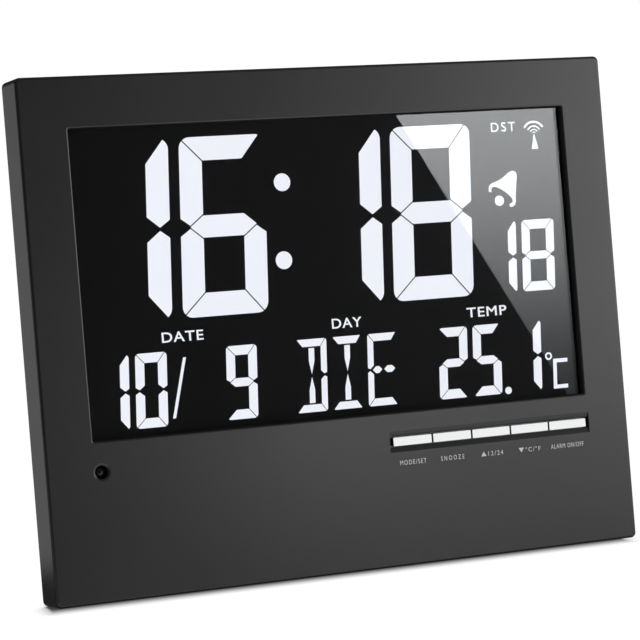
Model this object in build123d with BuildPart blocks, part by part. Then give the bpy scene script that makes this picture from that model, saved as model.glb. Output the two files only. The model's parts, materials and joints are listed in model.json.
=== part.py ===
from build123d import *
from math import cos, pi, radians, sin, sqrt
import os

os.makedirs("parts", exist_ok=True)

# Stance: the clock leans back on the rear edge of its rim and on a leg behind
lean = 11.2
leg_tilt = 13.94

# Case
case_width = 231.0
case_height = 183.0
rim_depth = 15.0
case_wall = 2.2
front_thickness = 2.5
case_corner = 2.0
inner_corner = 0.6
front_round = 1.0
slip = 0.2

# Window and lens
side_border = 17.6
top_border = 18.1
window_bottom = 55.8
window_corner = 0.8
window_recess = 2.1
window_ease_width = 0.4
window_ease_depth = 0.15
tape_thickness = 0.15
lip_width = 0.4
lip_setback = 0.3
lens_thickness = 1.5
lens_margin = 3.4
collar_wall = 1.5

# Display stack, front to back
air_gap = 0.2
polariser_thickness = 0.2
polariser_inset = 1.0
glass_thickness = 1.1
glass_margin = 4.1
glass_foot = 3.2
contact_ledge = 3.5
glass_head = 2.5
diffuser_thickness = 0.2
guide_thickness = 2.6
reflector_thickness = 0.2
frame_floor = 1.4
frame_wall = 2.0
guide_lift = 2.6
led_count = 10
led_margin = 14.25
led_length = 3.0
led_height = 2.0
led_depth = 1.6
led_board_thickness = 0.9
strip_inset = 22.0
strip_width = 2.0
strip_offset = 0.8

# Lit segments of the display, drawn on a panel of this size that is stretched to the window
panel_width = 195.8
panel_height = 109.1
segment_thickness = 0.1
segment_slant = 0.0577
# Digits and letters: width, height, upright stroke, end stroke, middle stroke, corner, gap
time_digit = (32.8, 63.8, 8.6, 8.45, 7.85, 4.0, 0.45)
second_digit = (13.7, 26.7, 3.4, 3.5, 3.0, 1.6, 0.28)
date_digit = (11.8, 26.2, 3.35, 3.4, 3.0, 1.5, 0.28)
weekday_letter = (11.95, 26.3, 2.3, 2.7, 2.5, 1.1, 0.28)
left_mitre = 135.0
right_mitre = 116.0
tip_share = 0.43
notch_share = 0.37
stem_share = 0.47
stem_foot = 0.7
time_foot = 40.4
date_foot = 3.1
time_places = (("1", -96.4), ("6", -59.5), ("1", -13.5), ("8", 23.4))
second_places = (("1", 60.95), ("8", 77.1))
date_places = (("1", -94.3), ("0", -80.1), ("9", -45.7))
weekday_places = (("D", -18.5), ("I", -4.3), ("E", 9.85))
temperature_places = (("2", 38.9), ("5", 53.05), ("1", 70.0))
segments_lit = {
    "0": "abcdef",
    "1": "bc",
    "2": "abged",
    "5": "afgcd",
    "6": "afgedc",
    "8": "abcdefg",
    "9": "abcdfg",
    "D": "abcdil",
    "I": "adil",
    "E": "adefgh",
}
colon_radius = 3.2
colon_places = ((-17.4, 86.4), (-19.1, 58.4))
slash_foot = (-65.75, 5.6)
slash_head = (-60.2, 26.7)
slash_width = 1.1
point_radius = 1.35
point_place = (67.5, 4.1)
degree_radius = 1.45
degree_stroke = 0.65
degree_place = (85.6, 15.5)
unit_left = 86.8
unit_width = 6.1
unit_height = 11.2
unit_stroke = 1.45

# Keys in their trough
key_count = 5
key_width = 15.75
key_gap = 0.45
key_height = 3.3
key_end_gap = 1.35
key_middle = 45.35
key_corner = 0.5
key_round = 0.35
key_travel = 0.5
key_flange_height = 7.0
key_flange_thickness = 1.0
key_flange_gap = 0.05
key_stem_radius = 2.0
key_stem_length = 1.0
trough_overhang = 0.85
trough_height = 7.7
trough_depth = 0.8
trough_slope = 1.9
switch_size = 6.0
switch_height = 3.4
plunger_radius = 1.6
plunger_length = 2.0
plunger_clearance = 0.15
switch_bore_depth = 1.8
switch_rest_gap = 1.0
board_thickness = 1.2
key_board_height = 11.8
key_board_overhang = 2.6

# Light sensor
sensor_inset = 20.2
sensor_radius = 2.1
sensor_hole_radius = 2.45
sensor_dish_width = 0.7
sensor_dish_depth = 0.35
sensor_setback = 1.2
sensor_flange = 0.35
sensor_flange_height = 1.0
sensor_board_width = 14.0
sensor_board_height = 8.8

# Rear cover and its housing
base_plate = 1.5
base_inset = 0.2
housing_depth = 32.0
housing_side = 17.0
housing_bottom = 10.0
housing_head = 8.0
housing_corner = 8.0
housing_round = 2.5
housing_wall = 2.0

# Screws: head radius, head height, shank radius, shank length
case_screw = (2.75, 1.8, 1.25, 8.5)
frame_screw = (2.4, 1.5, 1.1, 6.5)
board_screw = (2.0, 1.3, 0.95, 4.0)
small_screw = (2.0, 1.3, 0.95, 4.5)
pilot_clearance = 0.05
hole_clearance = 0.35
pillar_wall = 2.1
pillar_inset = 6.6
pillar_foot = 7.0
ear_inset = 11.5
ear_thickness = 2.0
ear_depth = 9.0
ear_half = 4.0
cross_width = 0.8
cross_share = 0.62
head_round = 0.4

# Cells and battery bay
cell_radius = 7.25
cell_length = 50.5
cell_nub_length = 1.3
cell_nub_radius = 2.75
cell_count = 3
cell_pitch = 15.0
cell_edge = 0.6
bay_side = 6.0
bay_bottom = 17.2
bay_wall = 1.2
cell_clearance = 0.3
plate_thickness = 0.5
plate_width = 11.0
spring_length = 5.5
spring_turns = 3
spring_wire = 0.4
spring_stations = 12
spring_samples = 240
spring_radii = (5.2, 3.4)

# Battery door
door_thickness = 2.0
door_lap = 1.6
door_gap = 0.05
door_side_gap = 0.2
tongue_width = 1.2
tongue_thickness = 1.0
tongue_clearance = 0.1
rail_width = 2.8
rail_depth = 1.6
grip_count = 6
grip_pitch = 2.0
grip_width = 1.0
grip_length = 18.0
grip_depth = 0.6
grip_inset = 5.0
arrow_radius = 4.0
arrow_depth = 0.4
arrow_inset = 23.0

# Stand, its pocket and its hinge
hinge_drop = 63.0
hinge_setback = 3.5
pocket_room = 3.6
pocket_depth = 7.0
pocket_wall = 2.0
pocket_head = 10.0
leg_side_gap = 3.0
leg_foot_gap = 1.5
leg_thickness = 3.0
leg_rib = 2.5
leg_rib_width = 2.0
leg_heel = 8.0
leg_nose = 1.5
leg_foot_length = 6.0
leg_window_length = 58.0
leg_window_corner = 4.0
barrel_radius = 3.0
pin_radius = 1.25
pin_fit = 0.03
pin_running = 0.05
stop_gap = 0.05
pad_thickness = 1.2

# Keyhole for a wall screw
keyhole_drop = 31.0
keyhole_radius = 4.25
keyhole_slot = 4.5
keyhole_rise = 9.0
keyhole_box = (17.0, 23.0)
keyhole_room = 4.5
keyhole_foot = 6.8

# Boards, receiver and buzzer
main_board_inset = 9.9
main_board_height = 46.3
main_board_thickness = 1.6
post_height = 1.5
post_radius = 3.0
post_rises = (5.0, 36.0)
post_inset = 4.0
chip_size = 12.0
chip_height = 1.8
chip_edge = 0.3
chip_x = -30.0
parts_rise = 22.0
crystal_radius = 1.5
crystal_length = 8.0
crystal_x = -52.0
capacitor_radius = 3.15
capacitor_height = 7.0
capacitor_edge = 0.4
capacitor_xs = (40.0, 52.0)
ferrite_radius = 4.0
ferrite_length = 60.0
ferrite_height = 30.0
ferrite_back = 8.0
winding_radius = 5.6
winding_length = 20.0
cradle_thickness = 2.0
cradle_half = 6.0
cradle_inset = 6.0
receiver_inset = 21.0
receiver_height = 52.0
receiver_size = (22.0, 16.0)
receiver_post = 2.0
receiver_chip_size = (6.0, 5.0, 1.5)
peg_radius = 0.9
peg_clearance = 0.05
peg_length = 1.8
buzzer_inset = 36.0
buzzer_height = 84.0
buzzer_radius = 12.0
buzzer_thickness = 5.0
buzzer_hole = 1.5
buzzer_edge = 1.0
sound_hole_radius = 1.0
sound_ring_radius = 5.0
sound_ring_count = 6
vent_inset = 18.0
vent_bottom = 108.0
vent_pitch = 4.0
vent_count = 5
vent_size = (16.0, 1.4)
thermistor_radius = 1.5
thermistor_lead = 0.3
thermistor_reach = 5.0
ribbon_thickness = 0.4
ribbon_inset = 1.7
ribbon_width = 12.0
wire_radius = 0.6
wire_bend = 1.0
lead_radius = 0.3
lead_bend = 1.8

# Housing, and the height of what hangs from its top
housing_width = case_width - 2 * housing_side
housing_top = case_height - housing_head
hinge_height = housing_top - hinge_drop
keyhole_height = housing_top - keyhole_drop

# The hinge of the leg, from the foot of the face, leaned back and standing on the rim's rear edge
hinge_w = -(housing_depth - hinge_setback)
hinge_rise = hinge_height * cos(radians(lean)) + (hinge_w + rim_depth) * sin(radians(lean))
hinge_run = hinge_height * sin(radians(lean)) - hinge_w * cos(radians(lean))
leg_reach = hinge_rise / cos(radians(leg_tilt))
leg_swing = leg_tilt + lean

# The part's origin is below the middle of its depth, from the rounded front edge to the leg's foot
front_line = front_round * (sin(radians(lean)) + cos(radians(lean)) - 1)
foot_run = (hinge_rise + leg_thickness * sin(radians(leg_tilt))) / cos(radians(leg_tilt))
back_line = hinge_run + foot_run * sin(radians(leg_tilt)) + leg_thickness * cos(radians(leg_tilt))
face = Plane(
    origin=(0, -(front_line + back_line) / 2, rim_depth * sin(radians(lean))),
    x_dir=(1, 0, 0),
    z_dir=(0, -cos(radians(lean)), sin(radians(lean))),
)
outwards = Axis(face.origin, face.z_dir)
# Across the case: first coordinate up the face, second outwards
across = Plane(origin=face.origin, x_dir=face.y_dir, z_dir=face.x_dir)


def at(x, v, w):
    """The place x across the face, v up it and w in front of it."""
    return face.from_local_coords(Vector(x, v, w))


# The leg's own plane: along the leg from its hinge, and out of its rear
leg_out = Vector(0, cos(radians(leg_tilt)), sin(radians(leg_tilt)))
leg = Plane(origin=at(0, hinge_height, hinge_w), x_dir=face.x_dir, z_dir=leg_out)


def block(x, v, w, mode=Mode.ADD, plane=face, corner=0.0):
    """A box between two values across the plane, up it and out of it."""
    with BuildSketch(plane.offset(min(w))) as outline:
        with Locations(((x[0] + x[1]) / 2, (v[0] + v[1]) / 2)):
            if corner:
                RectangleRounded(x[1] - x[0], v[1] - v[0], corner)
            else:
                Rectangle(x[1] - x[0], v[1] - v[0])
    extrude(outline.sketch, amount=max(w) - min(w), mode=mode)


def posts(points, w, radius, mode=Mode.ADD):
    """Round posts or bores square to the face."""
    with BuildSketch(face.offset(min(w))) as outline:
        with Locations(*points):
            Circle(radius)
    extrude(outline.sketch, amount=max(w) - min(w), mode=mode)


def both(half):
    """A range the same each way from the middle."""
    return (-half, half)


def screws(points, seat, screw):
    """Pan head screws driven from behind, with their heads against the depth seat."""
    head_radius, head_height, shank_radius, length = screw
    with BuildPart() as group:
        posts(points, (seat - head_height, seat), head_radius)
        rims = group.faces().filter_by(outwards).group_by(outwards)[0].edges()
        fillet(rims, head_round)
        posts(points, (seat, seat + length), shank_radius)
        with BuildSketch(face.offset(seat - head_height)) as cross:
            with Locations(*points):
                Rectangle(head_radius * 2 * cross_share, cross_width)
                Rectangle(cross_width, head_radius * 2 * cross_share)
        extrude(cross.sketch, amount=head_height / 2, mode=Mode.SUBTRACT)
    return group.part


def finish(part, label):
    """Names a piece and writes it."""
    part.label = label
    export_step(part, "parts/" + label + ".step")


# Depths of the display stack
window_width = case_width - 2 * side_border
window_top = case_height - top_border
lens_front = -window_recess - tape_thickness
lens_back = lens_front - lens_thickness
front_polariser = lens_back - air_gap
front_glass = front_polariser - polariser_thickness
rear_glass = front_glass - glass_thickness
rear_polariser = rear_glass - glass_thickness
diffuser = rear_polariser - polariser_thickness
guide = diffuser - diffuser_thickness
reflector = guide - guide_thickness
frame_inside = reflector - reflector_thickness
frame_back = frame_inside - frame_floor
board_front = frame_back - post_height
board_back = board_front - main_board_thickness

# Edges of the display stack
glass_x = window_width / 2 + glass_margin
glass_low = window_bottom - glass_foot
glass_high = window_top + glass_head
ledge_high = glass_high + contact_ledge
frame_x = glass_x + slip
frame_low = glass_low - slip
frame_high = ledge_high + slip
board_high = frame_high + frame_wall - slip * 4
lens_x = window_width / 2 + lens_margin
lens_low = window_bottom - lens_margin
lens_high = window_top + lens_margin
led_pitch = 2 * (glass_x - led_margin) / (led_count - 1)
strip_length = 2 * (glass_x - strip_inset)

# Keys, switches and their board
row_width = key_count * key_width + (key_count - 1) * key_gap
trough_right = window_width / 2 + trough_overhang
trough_left = trough_right - row_width - 2 * key_end_gap
key_xs = [trough_left + key_end_gap + key_width / 2 + i * (key_width + key_gap) for i in range(key_count)]
flange_front = -front_thickness - key_flange_gap
flange_back = flange_front - key_flange_thickness
stem_end = flange_back - key_stem_length
switch_top = stem_end - switch_rest_gap
small_board_front = switch_top - switch_height
sensor_x = -(case_width / 2 - sensor_inset)
small_board_back = small_board_front - board_thickness
small_board_w = (small_board_back, small_board_front)
key_board_top = key_middle + switch_size / 2 + key_travel
key_board_x = (trough_left - key_board_overhang, trough_right + key_board_overhang)
post_line = key_board_top - key_board_height + small_screw[0] + key_travel
key_posts = [((key_xs[i] + key_xs[i + 1]) / 2, post_line) for i in (0, key_count - 2)]
sensor_board_left = sensor_x + small_screw[0] * 2 - sensor_board_width
sensor_post = (sensor_board_left + small_screw[0] * 1.5, key_middle)

# Pillars for the case screws and ears of the display frame
pillar_xs = (-(case_width / 2 - pillar_inset), case_width / 2 - pillar_inset)
pillar_rows = (pillar_foot, case_height / 2, case_height - pillar_foot)
pillars = [(x, v) for x in pillar_xs for v in pillar_rows]
ear_rows = (window_bottom + ear_inset, window_top - ear_inset)
ears = [(x, v) for x in pillar_xs for v in ear_rows]
cover_front = -(rim_depth - base_inset - base_plate)
cover_back = -(rim_depth - base_inset)
pillar_radius = case_screw[2] + pillar_wall

# Battery bay and door
panel_back = -housing_depth
panel_front = panel_back + housing_wall
door_inside = panel_back + door_thickness
cell_w = door_inside + cell_clearance + cell_radius
bay_floor = cell_w + cell_radius + cell_clearance
bay_right = housing_width / 2 - bay_side
bay_left = bay_right - cell_length - spring_length - 2 * plate_thickness
bay_top = bay_bottom + (cell_count - 1) * cell_pitch + 2 * (cell_radius + cell_clearance)
cell_rows = [bay_bottom + cell_clearance + cell_radius + i * cell_pitch for i in range(cell_count)]
door_x = (bay_left - door_lap, housing_width / 2)
door_v = (bay_bottom - door_lap, bay_top + door_lap)

# The stand's pocket fills the room beside the door's rail, and the rod the room on its other side
pocket_width = 2 * (door_x[0] - rail_width - pocket_wall - pocket_room)
leg_width = pocket_width - 2 * leg_side_gap
leg_foot_width = pocket_width - 2 * leg_foot_gap
ferrite_x = -(pocket_width / 2 + pocket_wall + housing_width / 2 - housing_wall) / 2
receiver_x = receiver_inset - housing_width / 2
buzzer_x = buzzer_inset - housing_width / 2
vent_x = vent_inset - housing_width / 2

# Main board, hung from the top of the display frame
main_board_width = window_width - 2 * main_board_inset
main_board_bottom = board_high - main_board_height
parts_height = main_board_bottom + parts_rise
post_rows = [main_board_bottom + rise for rise in post_rises]
ribbon_left = trough_left + ribbon_inset

# Moulded front: a shallow box with the lens opening, the key trough and the sensor hole
with BuildPart() as front_case:
    block(both(case_width / 2), (0, case_height), (-rim_depth, 0), corner=case_corner)
    front_edges = front_case.faces().sort_by(outwards)[-1].edges()
    fillet(front_edges, front_round)
    block(
        both(case_width / 2 - case_wall),
        (case_wall, case_height - case_wall),
        (-rim_depth, -front_thickness),
        Mode.SUBTRACT,
        corner=inner_corner,
    )
    # Collar that holds the lens from its edges
    block(
        both(lens_x + slip + collar_wall),
        (lens_low - slip - collar_wall, lens_high + slip + collar_wall),
        (lens_back, -front_thickness),
    )
    lens_seat = (lens_back, -window_recess)
    block(both(lens_x + slip), (lens_low - slip, lens_high + slip), lens_seat, Mode.SUBTRACT)
    block(
        both(window_width / 2),
        (window_bottom, window_top),
        (-window_recess, 0),
        Mode.SUBTRACT,
        corner=window_corner,
    )
    # Shallow slope round the window's rim
    front_face = front_case.faces().sort_by(outwards)[-1]
    window_rim = front_face.inner_wires()[0].edges()
    chamfer(window_rim, window_ease_width, window_ease_depth, reference=front_face)
    # Trough with sloping long sides and upright ends
    with BuildSketch(across.offset(trough_left)):
        with BuildLine():
            Polyline(
                (key_middle + trough_height / 2, 0),
                (key_middle + trough_height / 2 - trough_slope, -trough_depth),
                (key_middle - trough_height / 2 + trough_slope, -trough_depth),
                (key_middle - trough_height / 2, 0),
                close=True,
            )
        make_face()
    extrude(amount=trough_right - trough_left, mode=Mode.SUBTRACT)
    block(
        (trough_left, trough_right),
        (key_middle - trough_height / 2 + trough_slope, key_middle + trough_height / 2 - trough_slope),
        (-front_thickness, -trough_depth),
        Mode.SUBTRACT,
    )
    # Sensor hole at the bottom of a shallow round dish
    posts([(sensor_x, key_middle)], (-front_thickness, 0), sensor_hole_radius, Mode.SUBTRACT)
    with BuildSketch(across.offset(sensor_x)):
        with BuildLine():
            Polyline(
                (key_middle, 0),
                (key_middle + sensor_hole_radius + sensor_dish_width, 0),
                (key_middle + sensor_hole_radius, -sensor_dish_depth),
                (key_middle, -sensor_dish_depth),
                close=True,
            )
        make_face()
    sensor_axis = Axis(at(sensor_x, key_middle, 0), face.z_dir)
    revolve(axis=sensor_axis, revolution_arc=360, mode=Mode.SUBTRACT)
    # Pillars and posts for the screws
    posts(pillars, (cover_front, -front_thickness), pillar_radius)
    posts(pillars, (cover_front, cover_front + case_screw[3]), case_screw[2] + pilot_clearance, Mode.SUBTRACT)
    posts(ears, (-ear_depth, -front_thickness), frame_screw[2] + pillar_wall)
    posts(ears, (-ear_depth, -front_thickness - slip), frame_screw[2] + pilot_clearance, Mode.SUBTRACT)
    small_posts = [*key_posts, sensor_post]
    posts(small_posts, (small_board_front, -front_thickness), small_screw[0])
    posts(
        small_posts,
        (small_board_front, small_board_front + small_screw[3]),
        small_screw[2] + pilot_clearance,
        Mode.SUBTRACT,
    )
finish(front_case.part, "front_case")

# Black frame: adhesive between the seat and the lens, and a thin lip that lines the window's wall
with BuildPart() as window_tape:
    block(both(lens_x), (lens_low, lens_high), (lens_front, -window_recess))
    block(
        both(window_width / 2),
        (window_bottom, window_top),
        (lens_front, -lip_setback),
        corner=window_corner,
    )
    block(
        both(window_width / 2 - lip_width),
        (window_bottom + lip_width, window_top - lip_width),
        (lens_front, -lip_setback),
        Mode.SUBTRACT,
        corner=window_corner - lip_width,
    )
finish(window_tape.part, "window_tape")

# Clear lens, set back from the face behind the lip
with BuildPart() as display_window:
    block(both(lens_x), (lens_low, lens_high), (lens_back, lens_front))
finish(display_window.part, "display_window")

# Sheets and plates of the display: half width, height range, depth range
sheet_x = glass_x - polariser_inset
sheet_v = (glass_low + polariser_inset, glass_high - polariser_inset)
guide_v = (glass_low + guide_lift, glass_high)
layers = {
    "lcd_front_polariser": (sheet_x, sheet_v, (front_glass, front_polariser)),
    "lcd_front_glass": (glass_x, (glass_low, ledge_high), (rear_glass, front_glass)),
    "lcd_rear_glass": (glass_x, (glass_low, glass_high), (rear_polariser, rear_glass)),
    "lcd_rear_polariser": (sheet_x, sheet_v, (diffuser, rear_polariser)),
    "diffuser_sheet": (sheet_x, guide_v, (guide, diffuser)),
    "light_guide": (glass_x, guide_v, (reflector, guide)),
    "reflector_sheet": (glass_x, guide_v, (frame_inside, reflector)),
}
for label, (half, v, w) in layers.items():
    with BuildPart() as layer:
        block(both(half), v, w)
    finish(layer.part, label)


def panel(u, t):
    """A place on the display's panel as face coordinates."""
    return u * window_width / panel_width, window_bottom + t * (window_top - window_bottom) / panel_height


def outline_face(places):
    """A closed outline with an arc through each marked middle place."""
    with BuildSketch(mode=Mode.PRIVATE) as sketch:
        with BuildLine():
            start = places[0]
            steps = iter([*places[1:], start])
            for step in steps:
                if step == "arc":
                    middle, end = next(steps), next(steps)
                    ThreePointArc(start, middle, end)
                else:
                    end = step
                    Line(start, end)
                start = end
        make_face()
    return sketch.sketch


def glyph(sign, start, foot, size):
    """The lit segments of one leaning digit or letter, with a gap between their mitred ends."""
    width, height, upright, end, middle, bend, gap = size
    half = height / 2
    mitre = gap / sqrt(2)
    tip = upright * tip_share
    notch = upright * notch_share
    rise = gap * sqrt(1 + (middle / 2 / (upright - tip)) ** 2)
    turn = gap / 2 / bend

    def place(u, t, mirror_u=False, mirror_t=False):
        u = width - u if mirror_u else u
        t = height - t if mirror_t else t
        return panel(start + u + t * segment_slant, foot + t)

    def corner(angle):
        return bend + bend * cos(angle), height - bend + bend * sin(angle)

    def shape(places, mirror_u=False, mirror_t=False):
        return outline_face([p if p == "arc" else place(*p, mirror_u, mirror_t) for p in places])

    def side(split):
        return [
            (0, half + notch),
            (0, height - bend),
            "arc",
            corner((pi + split + turn) / 2),
            corner(split + turn),
            (upright, height - end - mitre),
            (upright, half + middle / 2 + rise),
            (tip, half + rise),
        ]

    def cap(left_split, right_split):
        left_end, left_middle = corner(left_split - turn), corner((left_split - turn + pi / 2) / 2)
        right_end, right_middle = corner(right_split - turn), corner((right_split - turn + pi / 2) / 2)
        return [
            (width - bend, height),
            "arc",
            (width - right_middle[0], right_middle[1]),
            (width - right_end[0], right_end[1]),
            (width - upright - mitre, height - end),
            (upright + mitre, height - end),
            left_end,
            "arc",
            left_middle,
            (bend, height),
        ]

    left, even, right = radians(left_mitre), radians((left_mitre + right_mitre) / 2), radians(right_mitre)
    stem_half = upright * stem_share
    stem = [
        (width / 2 - stem_half, height - end - 2 * gap),
        (width / 2 + stem_half, height - end - 2 * gap),
        (width / 2 + stem_half, height * stem_foot),
        (width / 2, half + 2 * gap),
        (width / 2 - stem_half, height * stem_foot),
    ]
    bars = [(tip, width - tip)]
    if "h" in segments_lit[sign]:
        bars = [(tip * 2, width / 2 - gap), (width / 2 + gap * 2, width - tip)]
    shapes = {
        "a": [shape(cap(left, right))],
        "d": [shape(cap(left, even), mirror_t=True)],
        "f": [shape(side(left))],
        "b": [shape(side(right), mirror_u=True)],
        "e": [shape(side(left), mirror_t=True)],
        "c": [shape(side(even), mirror_u=True, mirror_t=True)],
        "i": [shape(stem)],
        "l": [shape(stem, mirror_t=True)],
        "g": [],
        "h": [],
    }
    for low, high in bars:
        slope = min(upright - tip, (high - low) / 3)
        shapes["g"].append(
            shape(
                [
                    (low, half),
                    (low + slope, half + middle / 2),
                    (high - slope, half + middle / 2),
                    (high, half),
                    (high - slope, half - middle / 2),
                    (low + slope, half - middle / 2),
                ]
            )
        )
    return [face_of for name in segments_lit[sign] for face_of in shapes[name]]


def lit(shapes):
    """Thin solids for lit shapes, on the front of the display."""
    with BuildPart() as solids:
        for flat in shapes:
            extrude(face.offset(front_polariser) * flat, amount=segment_thickness)
    return solids.part


def disc(centre, radius, hole=0.0):
    """A round dot, or a ring."""
    with BuildSketch(mode=Mode.PRIVATE) as dot:
        with Locations(panel(*centre)):
            Circle(radius)
            if hole:
                Circle(hole, mode=Mode.SUBTRACT)
    return dot.sketch


def figures(places, foot, size):
    """The lit segments of a row of digits or letters."""
    return [shape for sign, start in places for shape in glyph(sign, start, foot, size)]


# Lit shapes of the time, the seconds, the date with its weekday, and the temperature
time_shapes = figures(time_places, time_foot, time_digit)
time_shapes += [disc(place, colon_radius) for place in colon_places]
finish(lit(time_shapes), "time_digits")
finish(lit(figures(second_places, time_foot, second_digit)), "second_digits")
date_shapes = figures(date_places, date_foot, date_digit)
date_shapes += figures(weekday_places, date_foot, weekday_letter)
half_slash = slash_width / 2
slash_corners = [
    (slash_foot[0] - half_slash, slash_foot[1]),
    (slash_foot[0] + half_slash, slash_foot[1]),
    (slash_head[0] + half_slash, slash_head[1]),
    (slash_head[0] - half_slash, slash_head[1]),
]
date_shapes.append(outline_face([panel(*place) for place in slash_corners]))
finish(lit(date_shapes), "date_digits")
temperature_shapes = figures(temperature_places, date_foot, date_digit)
temperature_shapes.append(disc(point_place, point_radius))
temperature_shapes.append(disc(degree_place, degree_radius, degree_radius - degree_stroke))
unit_corners = (
    (0, 0),
    (unit_width, 0),
    (unit_width, unit_stroke),
    (unit_stroke, unit_stroke),
    (unit_stroke, unit_height - unit_stroke),
    (unit_width, unit_height - unit_stroke),
    (unit_width, unit_height),
    (0, unit_height),
)
unit_outline = [panel(unit_left + u + t * segment_slant, date_foot + t) for u, t in unit_corners]
temperature_shapes.append(outline_face(unit_outline))
finish(lit(temperature_shapes), "temperature_digits")

# Tray that holds the display against the lens and carries the main board on its back
main_posts = [(x, v) for x in both(main_board_width / 2 - post_inset) for v in post_rows]
strip_v = (glass_high + strip_offset, glass_high + strip_offset + strip_width)
with BuildPart() as lcd_frame:
    block(
        both(frame_x + frame_wall),
        (frame_low - frame_wall, frame_high + frame_wall),
        (frame_back, lens_back),
    )
    for side in (-1, 1):
        for row in ear_rows:
            block(
                sorted((side * frame_x, side * (case_width / 2 - case_wall - slip * 3))),
                (row - ear_half, row + ear_half),
                (-ear_depth - ear_thickness, -ear_depth),
            )
    block(both(frame_x), (frame_low, frame_high), (frame_inside, lens_back), Mode.SUBTRACT)
    posts(ears, (-ear_depth - ear_thickness, -ear_depth), frame_screw[2] + hole_clearance, Mode.SUBTRACT)
    posts(main_posts, (board_front, frame_back), post_radius)
    posts(main_posts, (board_front, frame_inside - slip), board_screw[2] + pilot_clearance, Mode.SUBTRACT)
    block(
        both(strip_length / 2 + slip),
        (strip_v[0] - slip, strip_v[1] + slip),
        (frame_back, frame_inside),
        Mode.SUBTRACT,
    )
finish(lcd_frame.part, "lcd_frame")
finish(screws(ears, -ear_depth - ear_thickness, frame_screw), "frame_screws")

# Strip of side lights along the foot of the light guide
led_w = (reflector + (guide_thickness - led_height) / 2, guide - (guide_thickness - led_height) / 2)
led_board_v = (frame_low, frame_low + led_board_thickness)
with BuildPart() as backlight_board:
    block(both(glass_x - slip), led_board_v, (frame_inside, guide))
finish(backlight_board.part, "backlight_board")
with BuildPart() as backlight_leds:
    for i in range(led_count):
        led_x = (i - (led_count - 1) / 2) * led_pitch
        block(
            (led_x - led_length / 2, led_x + led_length / 2),
            (led_board_v[1], led_board_v[1] + led_depth),
            led_w,
        )
finish(backlight_leds.part, "backlight_leds")

# Elastomer strip from the glass ledge to the main board
with BuildPart() as contact_strip:
    block(both(strip_length / 2), strip_v, (board_front, rear_glass))
finish(contact_strip.part, "contact_strip")

# Main board with its parts on the rear side
with BuildPart() as main_board:
    block(both(main_board_width / 2), (main_board_bottom, board_high), (board_back, board_front))
    posts(main_posts, (board_back, board_front), board_screw[2] + hole_clearance, Mode.SUBTRACT)
finish(main_board.part, "main_board")
finish(screws(main_posts, board_back, board_screw), "board_screws")
with BuildPart() as controller_chip:
    block(
        (chip_x - chip_size / 2, chip_x + chip_size / 2),
        (parts_height - chip_size / 2, parts_height + chip_size / 2),
        (board_back - chip_height, board_back),
    )
    chip_top = controller_chip.faces().sort_by(outwards)[0].edges()
    chamfer(chip_top, chip_edge)
finish(controller_chip.part, "controller_chip")
with BuildPart() as clock_crystal:
    with BuildSketch(across.offset(crystal_x - crystal_length / 2)):
        with Locations((parts_height, board_back - crystal_radius)):
            Circle(crystal_radius)
    extrude(amount=crystal_length)
finish(clock_crystal.part, "clock_crystal")
with BuildPart() as board_capacitors:
    spots = [(x, parts_height) for x in capacitor_xs]
    posts(spots, (board_back - capacitor_height, board_back), capacitor_radius)
    tops = board_capacitors.faces().group_by(outwards)[0].edges()
    fillet(tops, capacitor_edge)
finish(board_capacitors.part, "board_capacitors")

# Thermistor on its two leads below the board, behind the vents
with BuildPart() as temperature_sensor:
    bead_v = main_board_bottom - thermistor_reach
    bead_w = (board_front + board_back) / 2
    with BuildSketch(across.offset(vent_x)):
        with BuildLine():
            bead = CenterArc((bead_v, bead_w), thermistor_radius, -90, 180)
            Line(bead @ 1, bead @ 0)
        make_face()
    revolve(axis=Axis(at(vent_x, bead_v, bead_w), face.z_dir), revolution_arc=360)
    for side in (-1, 1):
        lead_x = vent_x + side * thermistor_radius / 2
        block(
            (lead_x - thermistor_lead, lead_x + thermistor_lead),
            (bead_v, main_board_bottom),
            (bead_w - thermistor_lead, bead_w + thermistor_lead),
        )
finish(temperature_sensor.part, "temperature_sensor")

# Board behind the keys with one tactile switch a key
with BuildPart() as key_board:
    block(key_board_x, (key_board_top - key_board_height, key_board_top), small_board_w)
    posts(key_posts, small_board_w, small_screw[2] + hole_clearance, Mode.SUBTRACT)
finish(key_board.part, "key_board")
key_spots = [(x, key_middle) for x in key_xs]
with BuildPart() as key_switches:
    for x in key_xs:
        block(
            (x - switch_size / 2, x + switch_size / 2),
            (key_middle - switch_size / 2, key_middle + switch_size / 2),
            (small_board_front, switch_top),
        )
    bore = (switch_top - switch_bore_depth, switch_top)
    posts(key_spots, bore, plunger_radius + plunger_clearance, Mode.SUBTRACT)
finish(key_switches.part, "key_switches")
with BuildPart() as sensor_board:
    board_x = (sensor_board_left, sensor_board_left + sensor_board_width)
    board_v = (key_middle - sensor_board_height / 2, key_middle + sensor_board_height / 2)
    block(board_x, board_v, small_board_w)
    posts([sensor_post], small_board_w, small_screw[2] + hole_clearance, Mode.SUBTRACT)
finish(sensor_board.part, "sensor_board")
finish(screws([*key_posts, sensor_post], small_board_back, small_screw), "small_board_screws")

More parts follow.
